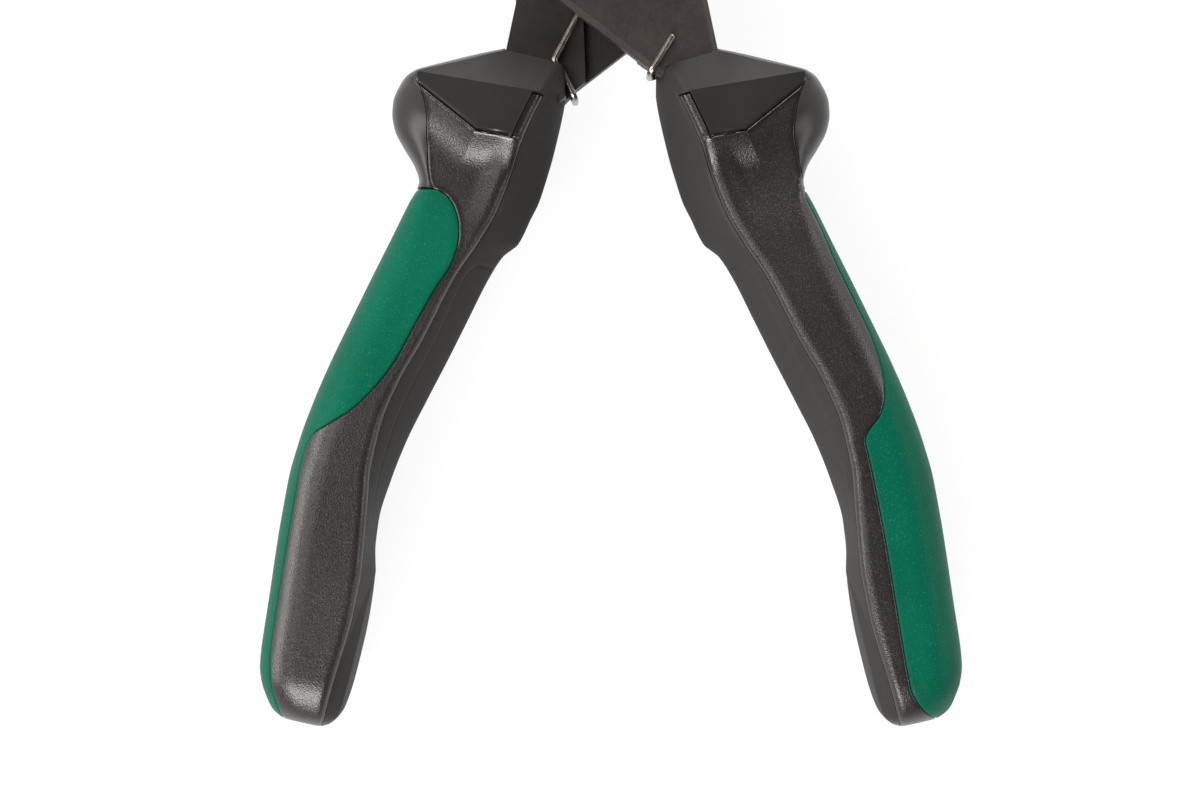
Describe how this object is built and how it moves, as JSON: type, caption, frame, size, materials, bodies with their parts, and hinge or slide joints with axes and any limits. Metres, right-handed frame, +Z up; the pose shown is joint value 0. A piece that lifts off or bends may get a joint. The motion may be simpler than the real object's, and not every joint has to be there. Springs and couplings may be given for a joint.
{
  "type": "long nose pliers",
  "caption": "Long half-round nose pliers with a side cutter, lap joint, wire return spring and thick two-colour handles with finger guards.",
  "frame": {"origin": "centre of the bounding box in X and Y, on the plane the handles rest on, drawn with the spring fully open", "axes": "+Z up along the pivot, +Y from the handles towards the nose, +X across the handles"},
  "size_m": [0.103, 0.1964, 0.022],
  "materials": {
    "forged_steel": "dark phosphated forging",
    "rivet_steel": "dark satin",
    "spring_wire": "bright drawn wire",
    "hard_plastic": "satin",
    "soft_black": "fine grain",
    "soft_green": "fine grain"
  },
  "bodies": {
    "left_half": {"left_arm": "forged_steel", "pivot_rivet": "rivet_steel", "return_spring": "spring_wire", "left_handle_core": "hard_plastic", "left_soft_cover": "soft_black", "left_colour_inlay": "soft_green"},
    "right_half": {"right_arm": "forged_steel", "right_handle_core": "hard_plastic", "right_soft_cover": "soft_black", "right_colour_inlay": "soft_green"}
  },
  "joints": [
    {"name": "pivot", "type": "hinge", "parent": "left_half", "child": "right_half", "pos_m": [0, 0.0233, 0.011], "axis": [0, 0, 1], "range_deg": [-19, 0], "stiffness_Nm_per_rad": 0.27, "springref_deg": 8.59, "deforming": ["return_spring"]}
  ]
}
